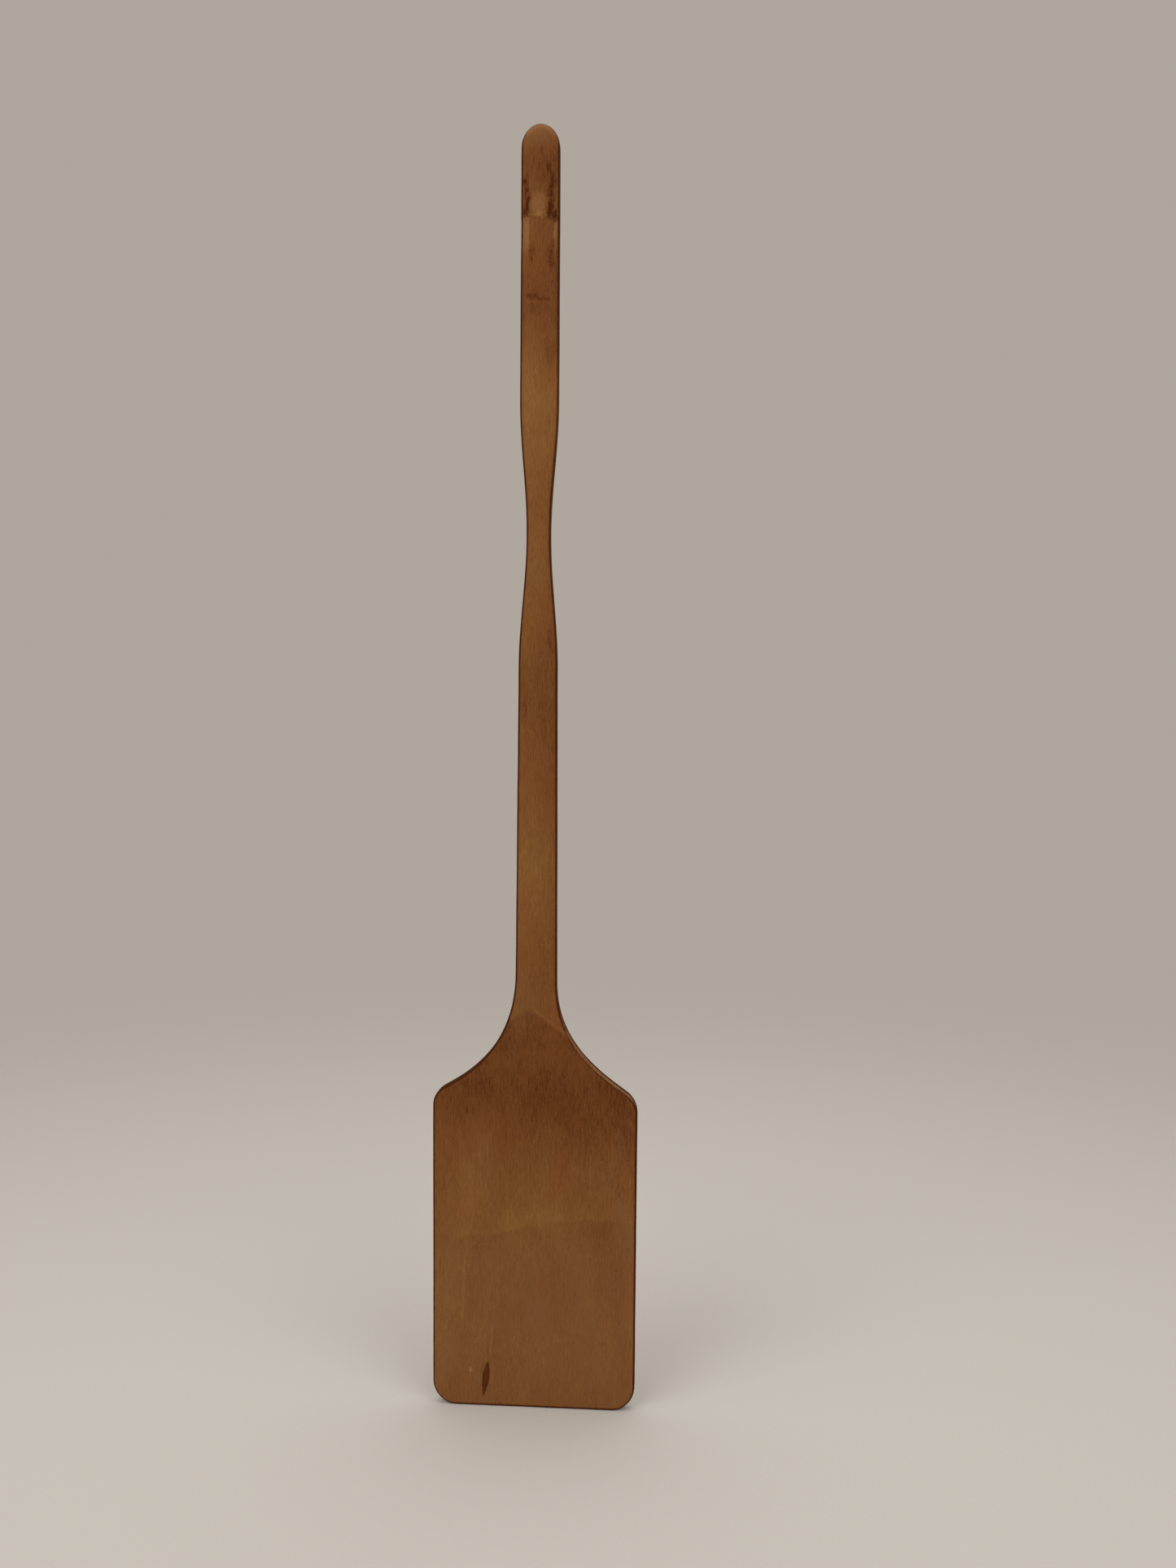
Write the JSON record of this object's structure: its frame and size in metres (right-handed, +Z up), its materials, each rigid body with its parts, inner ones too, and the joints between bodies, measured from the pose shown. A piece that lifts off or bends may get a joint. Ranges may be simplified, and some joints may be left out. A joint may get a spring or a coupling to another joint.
{
  "type": "wooden paddle",
  "caption": "Small hand-carved wooden paddle: flat oblong blade, hollow shoulders, slim flat shaft with a waist and a round-ended grip.",
  "frame": {"origin": "middle of the blade's bottom end, halfway through the thickness of the board", "axes": "+Z up the length from the blade's end to the tip of the grip, -Y out of the face, +Y out of the flat back, +X to the right when looking at the face"},
  "size_m": [0.0896, 0.009, 0.56],
  "materials": {
    "oiled_hardwood": "bare fine-grained hardwood, darkened by oil and handling, low sheen",
    "dark_pitch": "dark pitch and bark, slightly glossy"
  },
  "bodies": {
    "root": {"carved_paddle": "oiled_hardwood", "pitch_streak": "dark_pitch"}
  },
  "joints": []
}
